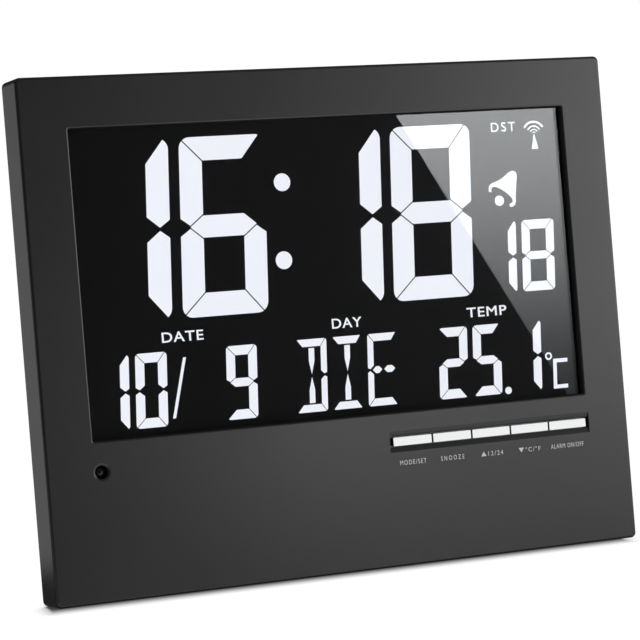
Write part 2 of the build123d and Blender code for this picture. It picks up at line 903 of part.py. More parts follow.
# Keys: a cap in the trough, a flange behind the case and a stem on the switch's plunger
key_names = ("mode", "snooze", "up", "down", "alarm")
for name, x in zip(key_names, key_xs):
    with BuildPart() as key:
        block(
            (x - key_width / 2, x + key_width / 2),
            (key_middle - key_height / 2, key_middle + key_height / 2),
            (flange_front, 0),
            corner=key_corner,
        )
        cap_rim = key.faces().sort_by(outwards)[-1].edges()
        fillet(cap_rim, key_round)
        block(
            (x - key_width / 2, x + key_width / 2),
            (key_middle - key_flange_height / 2, key_middle + key_flange_height / 2),
            (flange_back, flange_front),
        )
        posts([(x, key_middle)], (stem_end, flange_back), key_stem_radius)
    finish(key.part, name + "_button")
    with BuildPart() as plunger:
        posts([(x, key_middle)], (stem_end - plunger_length, stem_end), plunger_radius)
    finish(plunger.part, name + "_plunger")

# Dark domed light sensor
with BuildPart() as light_sensor:
    dome_start = -sensor_setback - sensor_radius
    posts([(sensor_x, key_middle)], (small_board_front, dome_start), sensor_radius)
    flange_top = small_board_front + sensor_flange_height
    posts([(sensor_x, key_middle)], (small_board_front, flange_top), sensor_radius + sensor_flange)
    with BuildSketch(across.offset(sensor_x)):
        with BuildLine():
            arc = CenterArc((key_middle, dome_start), sensor_radius, 0, 90)
            Polyline(arc @ 1, (key_middle, dome_start), arc @ 0)
        make_face()
    revolve(axis=sensor_axis, revolution_arc=360)
finish(light_sensor.part, "light_sensor")

# Flat cable from the key board, up behind the display, to the main board
with BuildPart() as key_cable:
    cable_w = frame_back - ribbon_thickness * 1.5
    cable_low = key_board_top - key_board_height / 2
    cable_high = main_board_bottom + post_height * 2
    with BuildLine(across.offset(ribbon_left + ribbon_width / 2)) as route:
        FilletPolyline(
            (cable_low, small_board_back),
            (cable_low, cable_w),
            (cable_high, cable_w),
            (cable_high, board_front),
            radius=ribbon_thickness,
        )
    with BuildSketch(Plane(origin=route.line @ 0, x_dir=face.x_dir, z_dir=route.line % 0)):
        Rectangle(ribbon_width, ribbon_thickness)
    sweep(path=route.line)
finish(key_cable.part, "key_cable")

# Outer form of the raised housing, which the battery door follows too
with BuildPart() as housing:
    block(
        both(housing_width / 2),
        (housing_bottom, housing_top),
        (panel_back, cover_front),
        corner=housing_corner,
    )
    back_rim = housing.faces().sort_by(outwards)[0].edges()
    fillet(back_rim, housing_round)

# Rear cover: base plate in the rim, raised housing, battery bay, stand pocket and keyhole
groove = tongue_width + door_side_gap
with BuildPart() as rear_cover:
    block(
        both(case_width / 2 - case_wall - slip),
        (case_wall + slip, case_height - case_wall - slip),
        (cover_back, cover_front),
        corner=inner_corner,
    )
    add(housing.part)
    block(
        both(housing_width / 2 - housing_wall),
        (housing_bottom + housing_wall, housing_top - housing_wall),
        (panel_front, cover_front),
        Mode.SUBTRACT,
        corner=housing_corner - housing_wall,
    )
    posts(pillars, (cover_back, cover_front), case_screw[2] + hole_clearance, Mode.SUBTRACT)
    # Battery bay and the rails that the door slides in
    block(
        (bay_left - bay_wall, bay_right + bay_wall),
        (bay_bottom - bay_wall, bay_top + bay_wall),
        (panel_back, bay_floor + bay_wall),
    )
    block(
        (door_x[0] - rail_width, housing_width / 2 - housing_wall),
        (door_v[0] - rail_width, door_v[1] + rail_width),
        (panel_back, panel_front + rail_depth),
    )
    block((bay_left, bay_right), (bay_bottom, bay_top), (panel_back, bay_floor), Mode.SUBTRACT)
    block(
        (door_x[0] - door_side_gap, housing_width / 2),
        (door_v[0] - door_side_gap, door_v[1] + door_side_gap),
        (panel_back, door_inside + door_gap),
        Mode.SUBTRACT,
    )
    groove_w = (door_inside - tongue_thickness - tongue_clearance, door_inside + tongue_clearance)
    block(
        (door_x[0] - door_side_gap, housing_width / 2),
        (door_v[0] - groove, door_v[1] + groove),
        groove_w,
        Mode.SUBTRACT,
    )
    # Stand pocket, open at the foot of the housing
    pocket_floor = panel_back + pocket_depth
    block(
        both(pocket_width / 2 + pocket_wall),
        (housing_bottom + housing_wall, hinge_height + pocket_head + pocket_wall),
        (panel_back, pocket_floor + pocket_wall),
    )
    block(
        both(pocket_width / 2),
        (housing_bottom, hinge_height + pocket_head),
        (panel_back, pocket_floor),
        Mode.SUBTRACT,
    )
    with BuildSketch(across.offset(-pocket_width / 2 - pocket_wall)):
        with Locations((hinge_height, hinge_w)):
            Circle(pin_radius + pin_fit)
    extrude(amount=pocket_width + 2 * pocket_wall, mode=Mode.SUBTRACT)
    # Keyhole with room behind it for the screw's head
    keyhole_v = (keyhole_height - keyhole_foot, keyhole_height - keyhole_foot + keyhole_box[1])
    block(
        both(keyhole_box[0] / 2 + housing_wall),
        (keyhole_v[0] - housing_wall, keyhole_v[1] + housing_wall),
        (panel_back, panel_front + keyhole_room + housing_wall),
    )
    block(both(keyhole_box[0] / 2), keyhole_v, (panel_front, panel_front + keyhole_room), Mode.SUBTRACT)
    posts([(0, keyhole_height)], (panel_back, panel_front), keyhole_radius, Mode.SUBTRACT)
    block(
        both(keyhole_slot / 2),
        (keyhole_height, keyhole_height + keyhole_rise),
        (panel_back, panel_front),
        Mode.SUBTRACT,
    )
    posts([(0, keyhole_height + keyhole_rise)], (panel_back, panel_front), keyhole_slot / 2, Mode.SUBTRACT)
    # Sound holes, vents, antenna cradles and receiver pegs
    sound_spots = [(buzzer_x, buzzer_height)]
    for i in range(sound_ring_count):
        turn = i * 2 * pi / sound_ring_count
        sound_spots.append(
            (buzzer_x + sound_ring_radius * cos(turn), buzzer_height + sound_ring_radius * sin(turn))
        )
    posts(sound_spots, (panel_back, panel_front), sound_hole_radius, Mode.SUBTRACT)
    with BuildSketch(face.offset(panel_back)):
        for i in range(vent_count):
            with Locations((vent_x, vent_bottom + i * vent_pitch)):
                SlotOverall(*vent_size)
    extrude(amount=housing_wall, mode=Mode.SUBTRACT)
    rod_w = panel_front + ferrite_back
    for side in (-1, 1):
        cradle_x = ferrite_x + side * (ferrite_length / 2 - cradle_inset)
        block(
            (cradle_x - cradle_thickness / 2, cradle_x + cradle_thickness / 2),
            (ferrite_height - cradle_half, ferrite_height + cradle_half),
            (panel_front, rod_w),
        )
    with BuildSketch(across.offset(ferrite_x - ferrite_length / 2)):
        with Locations((ferrite_height, rod_w)):
            Circle(ferrite_radius + pin_fit)
    extrude(amount=ferrite_length, mode=Mode.SUBTRACT)
    receiver_back = panel_front + receiver_post
    peg_spots = [
        (receiver_x + side * (receiver_size[0] / 2 - post_radius), receiver_height) for side in (-1, 1)
    ]
    posts(peg_spots, (panel_front, receiver_back), post_radius)
    posts(peg_spots, (receiver_back, receiver_back + peg_length), peg_radius)
finish(rear_cover.part, "rear_cover")
finish(screws(pillars, cover_back, case_screw), "case_screws")

# Receiver board on its pegs, the ferrite rod in its cradles and the winding on the rod
with BuildPart() as receiver_board:
    receiver_front = receiver_back + board_thickness
    block(
        (receiver_x - receiver_size[0] / 2, receiver_x + receiver_size[0] / 2),
        (receiver_height - receiver_size[1] / 2, receiver_height + receiver_size[1] / 2),
        (receiver_back, receiver_front),
    )
    posts(peg_spots, (receiver_back, receiver_front), peg_radius + peg_clearance, Mode.SUBTRACT)
finish(receiver_board.part, "receiver_board")
with BuildPart() as receiver_chip:
    block(
        (receiver_x - receiver_chip_size[0] / 2, receiver_x + receiver_chip_size[0] / 2),
        (receiver_height - receiver_chip_size[1] / 2, receiver_height + receiver_chip_size[1] / 2),
        (receiver_front, receiver_front + receiver_chip_size[2]),
    )
finish(receiver_chip.part, "receiver_chip")
with BuildPart() as ferrite_rod:
    with BuildSketch(across.offset(ferrite_x - ferrite_length / 2)):
        with Locations((ferrite_height, rod_w)):
            Circle(ferrite_radius)
    extrude(amount=ferrite_length)
finish(ferrite_rod.part, "ferrite_rod")
with BuildPart() as antenna_winding:
    with BuildSketch(across.offset(ferrite_x - winding_length / 2)):
        with Locations((ferrite_height, rod_w)):
            Circle(winding_radius)
            Circle(ferrite_radius + pin_fit, mode=Mode.SUBTRACT)
    extrude(amount=winding_length)
finish(antenna_winding.part, "antenna_winding")
with BuildPart() as antenna_wires:
    wire_x = ferrite_x + winding_length / 4
    wire_end = receiver_x + receiver_size[0] / 2 - post_radius / 2
    turn_v = receiver_height + receiver_size[1] / 4
    with BuildLine() as lead:
        FilletPolyline(
            at(wire_x, ferrite_height + winding_radius, rod_w),
            at(wire_x, turn_v, rod_w),
            at(wire_end, turn_v, rod_w),
            at(wire_end, turn_v, receiver_front),
            radius=lead_bend,
        )
    with BuildSketch(Plane(origin=lead.line @ 0, z_dir=lead.line % 0)):
        Circle(lead_radius)
    sweep(path=lead.line)
finish(antenna_wires.part, "antenna_wires")

# Buzzer behind the sound holes
with BuildPart() as buzzer:
    posts([(buzzer_x, buzzer_height)], (panel_front, panel_front + buzzer_thickness), buzzer_radius)
    buzzer_front = buzzer.faces().sort_by(outwards)[-1].edges()
    fillet(buzzer_front, buzzer_edge)
    posts(
        [(buzzer_x, buzzer_height)],
        (panel_front, panel_front + buzzer_thickness / 2),
        buzzer_hole,
        Mode.SUBTRACT,
    )
finish(buzzer.part, "buzzer")

# Battery door: a flat slide whose outside follows the housing, with tongues in the rails
with BuildPart() as battery_door:
    block(door_x, door_v, (panel_back, door_inside))
    add(housing.part, mode=Mode.INTERSECT)
    block(
        (door_x[0], door_x[1] - housing_round * 1.5),
        (door_v[0] - tongue_width, door_v[1] + tongue_width),
        (door_inside - tongue_thickness, door_inside),
    )
    door_middle = (door_v[0] + door_v[1]) / 2
    with BuildSketch(face.offset(panel_back)):
        for i in range(grip_count):
            with Locations((door_x[1] - grip_inset - i * grip_pitch, door_middle)):
                Rectangle(grip_width, grip_length)
    extrude(amount=grip_depth, mode=Mode.SUBTRACT)
    with BuildSketch(face.offset(panel_back)):
        with Locations((door_x[1] - arrow_inset, door_middle)):
            RegularPolygon(radius=arrow_radius, side_count=3)
    extrude(amount=arrow_depth, mode=Mode.SUBTRACT)
finish(battery_door.part, "battery_door")

# Cells lie side by side, every other one turned round; the nub meets a plate, the flat end a spring
spring_ends = []
for i, row in enumerate(cell_rows):
    nub_left = i % 2 == 0
    nub_end = bay_left + plate_thickness if nub_left else bay_right - plate_thickness
    towards = 1 if nub_left else -1
    body_start = nub_end + towards * cell_nub_length
    body_end = nub_end + towards * cell_length
    with BuildPart() as cell:
        with BuildSketch(across.offset(min(body_start, body_end))):
            with Locations((row, cell_w)):
                Circle(cell_radius)
        extrude(amount=cell_length - cell_nub_length)
        cell_rims = cell.edges().filter_by(GeomType.CIRCLE)
        fillet(cell_rims, cell_edge)
        with BuildSketch(across.offset(min(nub_end, body_start))):
            with Locations((row, cell_w)):
                Circle(cell_nub_radius)
        extrude(amount=cell_nub_length)
    finish(cell.part, "battery_" + str(i + 1))
    plate_side = bay_right - plate_thickness if nub_left else bay_left + plate_thickness
    spring_ends.append((row, plate_side, body_end))

# Contact plates against the ends of the bay: two singles and two that bridge a pair of cells
plate_w = (cell_w - plate_width / 2, cell_w + plate_width / 2)
half_plate = plate_width / 2
with BuildPart() as battery_plates:
    for edge, groups in ((bay_left, ((0,), (1, 2))), (bay_right - plate_thickness, ((0, 1), (2,)))):
        for group in groups:
            rows = [cell_rows[i] for i in group]
            block((edge, edge + plate_thickness), (min(rows) - half_plate, max(rows) + half_plate), plate_w)
finish(battery_plates.part, "battery_plates")


def biarc(start, start_way, end, end_way):
    """The two arcs that join one place and direction to another without a kink."""
    gap = end - start
    ways = start_way + end_way
    a = 2 * (start_way.dot(end_way) - 1)
    b = -2 * gap.dot(ways)
    c = gap.dot(gap)
    reach = (-b - sqrt(b * b - 4 * a * c)) / (2 * a)
    middle = (start + end + (start_way - end_way) * reach) * 0.5
    middle_way = (end - end_way * reach) - (start + start_way * reach)
    return middle, middle_way.normalized()


# Conical coil springs behind the flat ends of the cells
least_gap = spring_length
with BuildPart() as battery_springs:
    for row, x_plate, x_cell in spring_ends:
        stations = []
        way = 1 if x_cell > x_plate else -1
        run = spring_length - 2 * spring_wire
        for k in range(spring_stations + 1):
            share = k / spring_stations
            turn = share * spring_turns * 2 * pi
            r = spring_radii[0] + (spring_radii[1] - spring_radii[0]) * share
            dr = (spring_radii[1] - spring_radii[0]) / (spring_turns * 2 * pi)
            x = x_plate + way * (spring_wire + run * share)
            place = at(x, row + r * cos(turn), cell_w + r * sin(turn))
            ahead = at(
                x + way * run / (spring_turns * 2 * pi),
                row + r * cos(turn) + dr * cos(turn) - r * sin(turn),
                cell_w + r * sin(turn) + dr * sin(turn) + r * cos(turn),
            )
            stations.append((place, (ahead - place).normalized()))
        with BuildLine() as helix:
            for (start, start_way), (end, end_way) in zip(stations, stations[1:]):
                middle, middle_way = biarc(start, start_way, end, end_way)
                TangentArc(start, middle, tangent=start_way)
                TangentArc(middle, end, tangent=middle_way)
        points = [helix.line @ (k / spring_samples) for k in range(spring_samples + 1)]
        turn_points = spring_samples // spring_turns
        for j, point in enumerate(points):
            for other in points[j + turn_points // 2:]:
                least_gap = min(least_gap, (other - point).length - 2 * spring_wire)
        with BuildSketch(Plane(origin=helix.line @ 0, z_dir=helix.line % 0)):
            Circle(spring_wire)
        sweep(path=helix.line)
finish(battery_springs.part, "battery_springs")
print("least gap between the turns of a battery spring", round(least_gap, 2))

# Supply wires from the bay's wall up to the main board
with BuildPart() as battery_wires:
    wire_start = bay_left - bay_wall
    wire_w = board_back - capacitor_height / 2
    for i in range(2):
        bend_x = wire_start - wire_radius * (3 + 4 * (1 - i))
        leave_v = cell_rows[i]
        arrive_v = main_board_bottom + post_height * 3
        with BuildLine() as supply:
            FilletPolyline(
                at(wire_start, leave_v, wire_w),
                at(bend_x, leave_v, wire_w),
                at(bend_x, arrive_v, wire_w),
                at(bend_x, arrive_v, board_back),
                radius=wire_bend,
            )
        with BuildSketch(Plane(origin=supply.line @ 0, z_dir=supply.line % 0)):
            Circle(wire_radius)
        sweep(path=supply.line)
finish(battery_wires.part, "battery_wires")


# Leg: a ribbed plate with a barrel for its pin, a heel that meets the pocket's floor and a foot
foot_span = (leg_reach - leg_foot_length, leg_reach + leg_foot_length)
with BuildPart() as stand:
    with BuildSketch(leg):
        with BuildLine():
            Polyline(
                (-leg_width / 2, -leg_heel),
                (leg_width / 2, -leg_heel),
                (leg_width / 2, 0),
                (leg_foot_width / 2, leg_reach),
                (-leg_foot_width / 2, leg_reach),
                (-leg_width / 2, 0),
                close=True,
            )
        make_face()
        with Locations((0, leg_reach / 2)):
            RectangleRounded(leg_width / 2, leg_window_length, leg_window_corner, mode=Mode.SUBTRACT)
    extrude(amount=leg_thickness)
    with BuildSketch(leg.offset(-leg_rib)):
        for side in (-1, 1):
            with BuildLine():
                Polyline(
                    (side * leg_width / 2, 0),
                    (side * leg_foot_width / 2, leg_reach),
                    (side * (leg_foot_width / 2 - leg_rib_width), leg_reach),
                    (side * (leg_width / 2 - leg_rib_width), 0),
                    close=True,
                )
            make_face()
    extrude(amount=leg_rib)
    block(both(leg_width / 2), (-leg_heel, 0), (-leg_nose, 0), plane=leg)
    block(both(leg_foot_width / 2), foot_span, both(leg_thickness), plane=leg)
    with BuildSketch(across.offset(-leg_width / 2)):
        with Locations((hinge_height, hinge_w)):
            Circle(barrel_radius)
    extrude(amount=leg_width)
    with BuildSketch(across.offset(-pocket_width / 2)):
        with Locations((hinge_height, hinge_w)):
            Circle(pin_radius + pin_running)
    extrude(amount=pocket_width, mode=Mode.SUBTRACT)
    split(bisect_by=Plane.XY.offset(pad_thickness), keep=Keep.TOP)
    split(bisect_by=face.offset(pocket_floor - stop_gap), keep=Keep.BOTTOM)
finish(stand.part, "stand")

# Rubber pad under the leg's foot, flat on the table
with BuildPart() as stand_pad:
    block(both(leg_foot_width / 2), foot_span, both(leg_thickness), plane=leg)
    split(bisect_by=Plane.XY.offset(pad_thickness), keep=Keep.BOTTOM)
    split(bisect_by=Plane.XY, keep=Keep.TOP)
finish(stand_pad.part, "stand_pad")

# Steel pin through the pocket's cheeks and the leg's barrel
with BuildPart() as stand_pin:
    with BuildSketch(across.offset(-pocket_width / 2 - pocket_wall)):
        with Locations((hinge_height, hinge_w)):
            Circle(pin_radius)
    extrude(amount=pocket_width + 2 * pocket_wall)
finish(stand_pin.part, "stand_pin")

hinge = at(0, hinge_height, hinge_w)
print("hinge at", [round(c, 3) for c in hinge], "swing", round(leg_swing, 3))
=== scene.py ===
import json
from math import cos, pi, radians, sin

import bpy
from mathutils import Matrix, Vector


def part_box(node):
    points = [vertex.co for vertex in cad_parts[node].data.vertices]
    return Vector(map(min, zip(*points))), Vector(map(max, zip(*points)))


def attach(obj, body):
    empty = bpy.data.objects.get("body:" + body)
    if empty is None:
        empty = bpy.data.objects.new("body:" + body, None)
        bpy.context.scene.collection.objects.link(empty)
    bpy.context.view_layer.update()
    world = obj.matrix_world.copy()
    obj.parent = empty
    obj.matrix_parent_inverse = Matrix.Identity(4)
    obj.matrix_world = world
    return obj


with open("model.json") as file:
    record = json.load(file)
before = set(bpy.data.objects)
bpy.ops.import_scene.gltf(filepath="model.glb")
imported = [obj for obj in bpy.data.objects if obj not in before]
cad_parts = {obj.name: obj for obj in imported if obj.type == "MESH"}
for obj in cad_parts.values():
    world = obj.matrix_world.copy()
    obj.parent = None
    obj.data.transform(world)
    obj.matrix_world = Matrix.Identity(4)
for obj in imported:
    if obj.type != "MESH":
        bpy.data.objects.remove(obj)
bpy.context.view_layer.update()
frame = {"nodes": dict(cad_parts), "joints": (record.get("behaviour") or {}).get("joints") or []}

# Front of the case: one shallow moulding in near-black plastic with a fine satin grain.
# It carries the lens, the keys and the sensor, and screws to the rear cover from behind.
# Its face is the plane that every print and pane of the clock is laid on.
case_height = 0.183
rim_depth = 0.015
key_joint = next(joint for joint in frame["joints"] if joint["name"] == "mode_press")
outwards = -Vector(key_joint["axis"])
rightwards = Vector((1, 0, 0))
upwards = outwards.cross(rightwards)
case_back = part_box("front_case")[1].y
face_foot = Vector((
    0,
    case_back - case_height * upwards.y + rim_depth * outwards.y,
    rim_depth * outwards.z,
))


def on_face(x, v, w=0.0):
    """The place x across the face, v up it and w in front of it, all in metres."""
    return face_foot + rightwards * x + upwards * v + outwards * w


def front_of(name):
    """How far in front of the face the foremost point of a part lies; it is negative behind it."""
    corners = frame["nodes"][name].data.vertices
    return max((corner.co - face_foot).dot(outwards) for corner in corners)


def nothing_selected():
    """Leaves every object deselected, as a new piece needs."""
    for thing in bpy.context.selected_objects:
        thing.select_set(False)


def new_material(name):
    """A new material, its nodes and its links."""
    material = bpy.data.materials.new(name)
    material.use_nodes = True
    return material, material.node_tree.nodes, material.node_tree.links


def shader_of(material):
    """The shader that a material's effects feed."""
    return material.node_tree.nodes["Principled BSDF"]


def set_inputs(node, values):
    """Gives a node's named inputs their values."""
    for socket, value in values.items():
        node.inputs[socket].default_value = value


def effect(name, inputs, outputs):
    """An empty shader group with named sockets, and its two end nodes."""
    group = bpy.data.node_groups.new(name, "ShaderNodeTree")
    for way, sockets in (("INPUT", inputs), ("OUTPUT", outputs)):
        for socket, kind in sockets.items():
            group.interface.new_socket(name=socket, in_out=way, socket_type="NodeSocket" + kind)
    return group, group.nodes.new("NodeGroupInput"), group.nodes.new("NodeGroupOutput")


def place_effect(nodes, group, values):
    """Puts a shader group among a material's nodes, with the material's own values."""
    placed = nodes.new("ShaderNodeGroup")
    placed.node_tree = group
    set_inputs(placed, values)
    return placed


noise_low, noise_high = 0.3, 0.7


def spread(group, noise, centre, width):
    """A value from centre - width to centre + width, as a noise goes from its low to its high."""
    stretch = group.nodes.new("ShaderNodeMapRange")
    set_inputs(stretch, {"From Min": noise_low, "From Max": noise_high})
    group.links.new(noise, stretch.inputs["Value"])
    for kind, end in (("SUBTRACT", "To Min"), ("ADD", "To Max")):
        limit = group.nodes.new("ShaderNodeMath")
        limit.operation = kind
        if isinstance(centre, float):
            limit.inputs[0].default_value = centre
        else:
            group.links.new(centre, limit.inputs[0])
        group.links.new(width, limit.inputs[1])
        group.links.new(limit.outputs["Value"], stretch.inputs[end])
    return stretch.outputs["Result"]


grain, grain_in, grain_out = effect(
    "moulded_grain",
    {"Colour": "Color", "Mottle": "Float", "Roughness": "Float", "Uneven": "Float",
     "Grain": "Float"},
    {"Colour": "Color", "Roughness": "Float", "Height": "Float"},
)
grain_place = grain.nodes.new("ShaderNodeTexCoord")
grain_flow = grain.nodes.new("ShaderNodeTexNoise")
set_inputs(grain_flow, {"Scale": 23, "Detail": 4})
grain_cells = grain.nodes.new("ShaderNodeTexNoise")
set_inputs(grain_cells, {"Detail": 2})
grain_tone = grain.nodes.new("ShaderNodeHueSaturation")
grain.links.new(grain_place.outputs["Object"], grain_flow.inputs["Vector"])
grain.links.new(grain_place.outputs["Object"], grain_cells.inputs["Vector"])
grain.links.new(grain_in.outputs["Grain"], grain_cells.inputs["Scale"])
grain.links.new(grain_in.outputs["Colour"], grain_tone.inputs["Color"])
flow = grain_flow.outputs["Fac"]
mottled = spread(grain, flow, 1.0, grain_in.outputs["Mottle"])
uneven = spread(grain, flow, grain_in.outputs["Roughness"], grain_in.outputs["Uneven"])
grain.links.new(mottled, grain_tone.inputs["Value"])
grain.links.new(grain_tone.outputs["Color"], grain_out.inputs["Colour"])
grain.links.new(uneven, grain_out.inputs["Roughness"])
grain.links.new(grain_cells.outputs["Fac"], grain_out.inputs["Height"])


def moulded(name, colour, roughness, mottle=0.05, uneven=0.04, grain_scale=2600,
            relief=0.00002, metal=0.0):
    """A material with the grain of a mould, of a film or of a metal's finish."""
    material, nodes, links = new_material(name)
    shader = shader_of(material)
    set_inputs(shader, {"Metallic": metal})
    surface = place_effect(nodes, grain, {
        "Colour": (*colour, 1), "Mottle": mottle, "Roughness": roughness, "Uneven": uneven,
        "Grain": grain_scale,
    })
    bump = nodes.new("ShaderNodeBump")
    set_inputs(bump, {"Distance": relief})
    links.new(surface.outputs["Colour"], shader.inputs["Base Color"])
    links.new(surface.outputs["Roughness"], shader.inputs["Roughness"])
    links.new(surface.outputs["Height"], bump.inputs["Height"])
    links.new(bump.outputs["Normal"], shader.inputs["Normal"])
    return material


def dress(material, *names):
    """Gives parts of the clock their material."""
    for name in names:
        mesh = frame["nodes"][name].data
        mesh.materials.clear()
        mesh.materials.append(material)


satin_black = moulded(
    "satin_black_plastic", (0.005, 0.005, 0.0047), 0.34, mottle=0.06, uneven=0.015
)
dress(satin_black, "front_case")

# Window: a clear acrylic pane, polished on both sides, behind a black frame that lines the opening.
# The pane mirrors the studio, so its surface is almost without grain.
acrylic, acrylic_nodes, acrylic_links = new_material("clear_acrylic_pane")
acrylic_shader = shader_of(acrylic)
set_inputs(acrylic_shader, {"Transmission Weight": 1.0, "IOR": 1.49})
acrylic_haze = place_effect(acrylic_nodes, grain, {
    "Colour": (0.98, 0.985, 0.99, 1), "Mottle": 0.004, "Roughness": 0.004, "Uneven": 0.003,
})
acrylic_links.new(acrylic_haze.outputs["Colour"], acrylic_shader.inputs["Base Color"])
acrylic_links.new(acrylic_haze.outputs["Roughness"], acrylic_shader.inputs["Roughness"])
dress(acrylic, "display_window")
dull = {"Specular IOR Level": 0.1}
foam_black = moulded("black_foam_frame", (0.006, 0.006, 0.006), 0.8, mottle=0.1, grain_scale=5000)
set_inputs(shader_of(foam_black), dull)
dress(foam_black, "window_tape")
black_film = moulded("black_film", (0.0160, 0.0160, 0.0180), 0.35, mottle=0.03, relief=0.0)
set_inputs(shader_of(black_film), dull)
dress(black_film, "lcd_front_polariser", "lcd_rear_polariser")

# Display: two glasses with the liquid crystal between them, then the sheets of its backlight.
# They lie one on the other in a black tray, which screws to the case and carries the main board.
cell_glass = moulded(
    "display_glass", (0.62, 0.66, 0.64), 0.03, mottle=0.01, uneven=0.01, relief=0.0
)
set_inputs(shader_of(cell_glass), {"Transmission Weight": 0.7})
dress(cell_glass, "lcd_front_glass", "lcd_rear_glass")
light_guide = moulded(
    "dotted_light_guide", (0.86, 0.88, 0.88), 0.12, mottle=0.02, grain_scale=900, relief=0.00004
)
dress(light_guide, "light_guide")
white_sheet = moulded("white_film", (0.82, 0.82, 0.82), 0.6, mottle=0.02)
dress(white_sheet, "diffuser_sheet", "reflector_sheet")
tray_black = moulded("black_tray_plastic", (0.018, 0.018, 0.018), 0.55, grain_scale=1500)
dress(tray_black, "lcd_frame", "key_switches")

# Lit segments: where the liquid crystal lets the backlight through, almost even cool white.
# Digits, letters and signs are of one layer, so the signs added here lie flush with the digits.
segment_glow, glow_nodes, glow_links = new_material("backlit_white")
glow_shader = shader_of(segment_glow)
set_inputs(glow_shader, {
    "Base Color": (0.02, 0.02, 0.02, 1), "Roughness": 0.5, "Specular IOR Level": 0.0,
    "Emission Strength": 1.0,
})
glow_tone = place_effect(glow_nodes, grain, {"Colour": (0.94, 0.96, 1.03, 1), "Mottle": 0.012})
glow_links.new(glow_tone.outputs["Colour"], glow_shader.inputs["Emission Color"])
dress(segment_glow, "time_digits", "second_digits", "date_digits", "temperature_digits")

segment_thickness = 0.0001
segment_back = front_of("time_digits") - segment_thickness
letter_steps, outline_steps = 6, 8
weld_distance = 0.0000005


def placed_on_face(piece, w, thickness):
    """Lays a flat piece, drawn in face coordinates and one unit thick, on the face at depth w."""
    flat = Matrix.Scale(thickness, 4, (0, 0, 1))
    turn = Matrix((rightwards, upwards, outwards)).transposed().to_4x4()
    piece.data.transform(Matrix.Translation(on_face(0, 0, w + thickness / 2)) @ turn @ flat)


def flat_words(name, words, x, v, spacing=1.0, boldness=0.0):
    """Words as a flat mesh that fills the stretch x across the face and v up it."""
    nothing_selected()
    bpy.ops.object.text_add()
    text = bpy.context.object.data
    text.body = words
    text.space_character = spacing
    text.extrude = 0.5
    text.resolution_u = letter_steps
    bpy.ops.object.convert(target="MESH")
    piece = bpy.context.object
    piece.name = name
    corners = [vertex.co for vertex in piece.data.vertices]
    low = Vector((min(c.x for c in corners), min(c.y for c in corners), 0))
    high = Vector((max(c.x for c in corners), max(c.y for c in corners), 0))
    across = (x[1] - x[0] - 2 * boldness) / (high.x - low.x)
    along = (v[1] - v[0] - 2 * boldness) / (high.y - low.y)
    fit = Matrix.Diagonal((across, along, 1, 1)) @ Matrix.Translation(-low)
    piece.data.transform(Matrix.Translation((x[0] + boldness, v[0] + boldness, 0)) @ fit)
    bpy.ops.object.mode_set(mode="EDIT")
    bpy.ops.mesh.select_all(action="SELECT")
    bpy.ops.mesh.remove_doubles(threshold=weld_distance)
    bpy.ops.mesh.normals_make_consistent(inside=False)
    if boldness:
        bpy.ops.transform.shrink_fatten(value=boldness, use_even_offset=True)
    bpy.ops.object.mode_set(mode="OBJECT")
    return piece


def flat_outline(name, points, sharp=()):
    """A flat mesh from a closed curve through a few points in face coordinates, in millimetres."""
    nothing_selected()
    bpy.ops.curve.primitive_bezier_curve_add()
    drawn = bpy.context.object
    drawn.name = name
    drawn.data.dimensions = "2D"
    drawn.data.fill_mode = "BOTH"
    drawn.data.extrude = 0.5
    drawn.data.resolution_u = outline_steps
    spline = drawn.data.splines[0]
    spline.bezier_points.add(len(points) - 2)
    for number, (knot, (x, v)) in enumerate(zip(spline.bezier_points, points)):
        knot.co = (x / 1000, v / 1000, 0)
        kind = "VECTOR" if number in sharp else "AUTO"
        knot.handle_left_type = knot.handle_right_type = kind
    spline.use_cyclic_u = True
    bpy.ops.object.convert(target="MESH")
    return bpy.context.object


def lit(piece):
    """A sign of the display: it lies on the polariser with the digits and glows like them."""
    placed_on_face(piece, segment_back, segment_thickness)
    piece.data.materials.clear()
    piece.data.materials.append(segment_glow)
    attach(piece, "case")


caption_v = (0.08820, 0.09180)
caption_boldness = 0.00007
lit(flat_words("date_caption", "DATE", (-0.0681, -0.0524), caption_v, 1.12, caption_boldness))
lit(flat_words("day_caption", "DAY", (-0.0023, 0.0095), caption_v, 1.12, caption_boldness))
lit(flat_words("temperature_caption", "TEMP", (0.0527, 0.0693), caption_v, 1.12, caption_boldness))
lit(flat_words("summer_time_sign", "DST", (0.0690, 0.0792), (0.1564, 0.1599), 1.3, 0.00003))

# Alarm sign: a tilted bell with turned-out lips, drawn as one closed outline, and a round clapper.
# It is part of the same lit layer as the digits.
bell_outline = [
    (66.0, 134.1), (66.1, 135.8), (66.8, 136.95), (68.3, 137.6), (70.7, 138.4), (72.9, 139.6),
    (74.8, 141.0), (76.5, 141.5), (77.8, 141.0), (78.2, 139.8), (77.8, 137.1), (77.1, 131.9),
    (76.8, 129.5), (75.7, 128.3), (74.3, 128.25), (74.35, 129.4), (75.5, 129.8), (75.6, 131.1),
    (74.4, 132.5), (72.5, 134.1), (70.5, 135.3), (68.3, 136.0), (67.2, 135.6), (67.1, 134.1),
]
lit(flat_outline("alarm_bell_sign", bell_outline, sharp=(0, 14, 15, 23)))
clapper_place = (0.0701, 0.1307, 0)
clapper_radius = 0.00192
clapper_sides = 40
nothing_selected()
bpy.ops.mesh.primitive_cylinder_add(
    vertices=clapper_sides, radius=clapper_radius, depth=1, location=clapper_place
)
clapper = bpy.context.object
clapper.name = "alarm_bell_clapper"
bpy.ops.object.transform_apply(location=True, rotation=False, scale=False)
lit(clapper)

